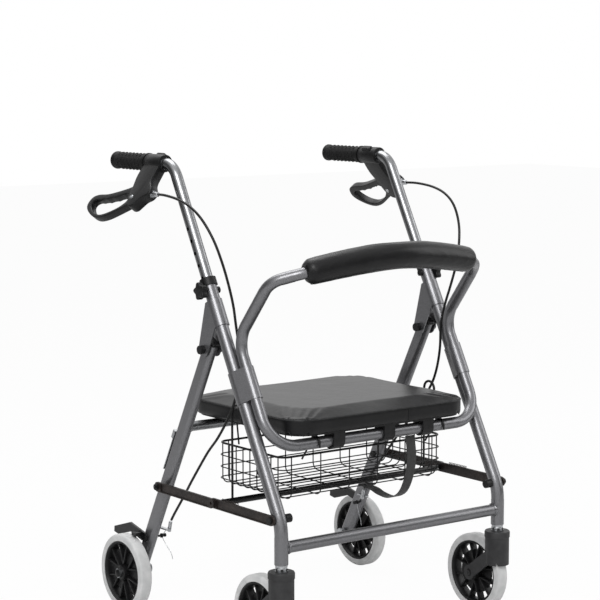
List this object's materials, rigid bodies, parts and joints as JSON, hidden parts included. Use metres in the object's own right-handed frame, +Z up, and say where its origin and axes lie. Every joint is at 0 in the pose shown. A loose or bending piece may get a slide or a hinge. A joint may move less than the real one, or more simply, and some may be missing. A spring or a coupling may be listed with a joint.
{
  "type": "rollator walker",
  "caption": "Folding rollator walker with flip-up padded seat, curved backrest, wire basket, swivel front casters, height-adjusting handles and lever brakes.",
  "frame": {"origin": "centre of the bounding box on the floor", "axes": "+Z up; -Y is the walker's front, the way it travels, and the grips point to +Y; +X runs from the user's right side to the user's left side"},
  "size_m": [0.6966, 0.5787, 0.903],
  "materials": {
    "frame": "satin metallic grey powder coat",
    "bright_tube": "bright satin tube",
    "zinc": "zinc-plated",
    "black_plastic": "moulded black, fine texture",
    "fork_plastic": "dark grey moulded",
    "black_wire": "black dip coating",
    "cable_jacket": "smooth black cable jacket",
    "brace_steel": "black-brown coated steel",
    "seat_vinyl": "black grained vinyl",
    "pad_vinyl": "black grained vinyl over foam",
    "webbing": "black woven webbing",
    "grip_rubber": "ribbed soft black",
    "tyre": "light grey solid rubber"
  },
  "bodies": {
    "front_frame": {"front_leg_r": "frame", "front_leg_l": "frame", "crossbar": "frame", "seat_loop": "frame", "saddle_brackets": "frame", "fold_bracket_r": "frame", "fold_bracket_l": "frame", "fold_bolts": "black_plastic", "leg_collars": "black_plastic", "height_bolts": "black_plastic", "brace_front_bolts": "black_plastic", "backrest_pad": "pad_vinyl", "upper_cable_r": "cable_jacket", "upper_cable_l": "cable_jacket", "lift_bar": "black_wire", "lift_rods": "black_wire", "pull_strap": "webbing", "basket": "black_wire", "front_hooks": "black_wire"},
    "rear_frame": {"rear_leg_r": "frame", "rear_leg_l": "frame", "rear_rail": "bright_tube", "basket_hooks": "black_wire", "lower_cable_r": "cable_jacket", "lower_cable_l": "cable_jacket", "cable_adjusters": "zinc", "rear_axles": "zinc", "brace_rear_bolts": "black_plastic", "latch": "zinc"},
    "brace_front": {"brace_front_r": "brace_steel", "brace_front_l": "brace_steel", "brace_pins": "black_plastic", "brace_springs": "brace_steel"},
    "brace_rear": {"brace_rear_r": "brace_steel", "brace_rear_l": "brace_steel"},
    "seat": {"seat_board": "black_plastic", "seat_pad": "seat_vinyl", "seat_clips": "black_plastic"},
    "handle_r": {"handle_tube_r": "bright_tube", "grip_r": "grip_rubber", "brake_housing_r": "black_plastic"},
    "lever_r": {"brake_lever_r": "black_plastic"},
    "knob_r": {"star_knob_r": "black_plastic"},
    "caster_r": {"caster_fork_r": "fork_plastic"},
    "caster_wheel_r": {"caster_rim_r": "black_plastic", "caster_tyre_r": "tyre"},
    "rear_wheel_r": {"rear_rim_r": "black_plastic", "rear_tyre_r": "tyre"},
    "brake_r": {"brake_arm_r": "brace_steel"},
    "handle_l": {"handle_tube_l": "bright_tube", "grip_l": "grip_rubber", "brake_housing_l": "black_plastic"},
    "lever_l": {"brake_lever_l": "black_plastic"},
    "knob_l": {"star_knob_l": "black_plastic"},
    "caster_l": {"caster_fork_l": "fork_plastic"},
    "caster_wheel_l": {"caster_rim_l": "black_plastic", "caster_tyre_l": "tyre"},
    "rear_wheel_l": {"rear_rim_l": "black_plastic", "rear_tyre_l": "tyre"},
    "brake_l": {"brake_arm_l": "brace_steel"}
  },
  "joints": [
    {"name": "fold", "type": "hinge", "parent": "front_frame", "child": "rear_frame", "pos_m": [0, -0.033, 0.546], "axis": [1, 0, 0], "range_deg": [-25, 0], "deforming": ["lower_cable_r", "lower_cable_l"]},
    {"name": "brace_front_fold", "type": "hinge", "parent": "front_frame", "child": "brace_front", "pos_m": [0, -0.247, 0.262], "axis": [1, 0, 0], "range_deg": [0, 41.29]},
    {"name": "brace_rear_fold", "type": "hinge", "parent": "rear_frame", "child": "brace_rear", "pos_m": [0, 0.11625, 0.262], "axis": [1, 0, 0], "range_deg": [-34.37, 0]},
    {"name": "seat_flip", "type": "hinge", "parent": "front_frame", "child": "seat", "pos_m": [0, -0.20921, 0.383], "axis": [1, 0, 0], "range_deg": [0, 75]},
    {"name": "handle_height_r", "type": "slide", "parent": "front_frame", "child": "handle_r", "axis": [0, 0.4756, 0.8796], "range_m": [-0.1, 0.05], "deforming": ["upper_cable_r"]},
    {"name": "lever_squeeze_r", "type": "hinge", "parent": "handle_r", "child": "lever_r", "pos_m": [-0.31376, 0.13818, 0.81532], "axis": [0.7986, 0, -0.6018], "range_deg": [0, 15], "stiffness_Nm_per_rad": 1},
    {"name": "knob_turn_r", "type": "hinge", "parent": "front_frame", "child": "knob_r", "pos_m": [-0.282, -0.03716, 0.65588], "axis": [1, 0, 0], "continuous": true},
    {"name": "caster_swivel_r", "type": "hinge", "parent": "front_frame", "child": "caster_r", "pos_m": [-0.262, -0.255, 0.168], "axis": [0, 0, 1], "continuous": true},
    {"name": "caster_roll_r", "type": "hinge", "parent": "caster_r", "child": "caster_wheel_r", "pos_m": [-0.262, -0.198, 0.076], "axis": [1, 0, 0], "continuous": true},
    {"name": "rear_roll_r", "type": "hinge", "parent": "rear_frame", "child": "rear_wheel_r", "pos_m": [-0.295, 0.214, 0.076], "axis": [1, 0, 0], "continuous": true},
    {"name": "brake_press_r", "type": "hinge", "parent": "rear_frame", "child": "brake_r", "pos_m": [-0.274, 0.17911, 0.15], "axis": [1, 0, 0], "range_deg": [-1.5, 0]},
    {"name": "handle_height_l", "type": "slide", "parent": "front_frame", "child": "handle_l", "axis": [0, 0.4756, 0.8796], "range_m": [-0.1, 0.05], "deforming": ["upper_cable_l"]},
    {"name": "lever_squeeze_l", "type": "hinge", "parent": "handle_l", "child": "lever_l", "pos_m": [0.31376, 0.13818, 0.81532], "axis": [0.7986, 0, 0.6018], "range_deg": [0, 15], "stiffness_Nm_per_rad": 1},
    {"name": "knob_turn_l", "type": "hinge", "parent": "front_frame", "child": "knob_l", "pos_m": [0.282, -0.03716, 0.65588], "axis": [1, 0, 0], "continuous": true},
    {"name": "caster_swivel_l", "type": "hinge", "parent": "front_frame", "child": "caster_l", "pos_m": [0.262, -0.255, 0.168], "axis": [0, 0, 1], "continuous": true},
    {"name": "caster_roll_l", "type": "hinge", "parent": "caster_l", "child": "caster_wheel_l", "pos_m": [0.262, -0.198, 0.076], "axis": [1, 0, 0], "continuous": true},
    {"name": "rear_roll_l", "type": "hinge", "parent": "rear_frame", "child": "rear_wheel_l", "pos_m": [0.295, 0.214, 0.076], "axis": [1, 0, 0], "continuous": true},
    {"name": "brake_press_l", "type": "hinge", "parent": "rear_frame", "child": "brake_l", "pos_m": [0.274, 0.17911, 0.15], "axis": [1, 0, 0], "range_deg": [-1.5, 0]}
  ],
  "couplings": [
    {"joint": "brace_front_fold", "follows": "fold", "ratio": -1.6497},
    {"joint": "brace_rear_fold", "follows": "fold", "ratio": 1.3728},
    {"joint": "brake_press_r", "follows": "lever_squeeze_r", "ratio": -0.1},
    {"joint": "brake_press_l", "follows": "lever_squeeze_l", "ratio": -0.1}
  ]
}
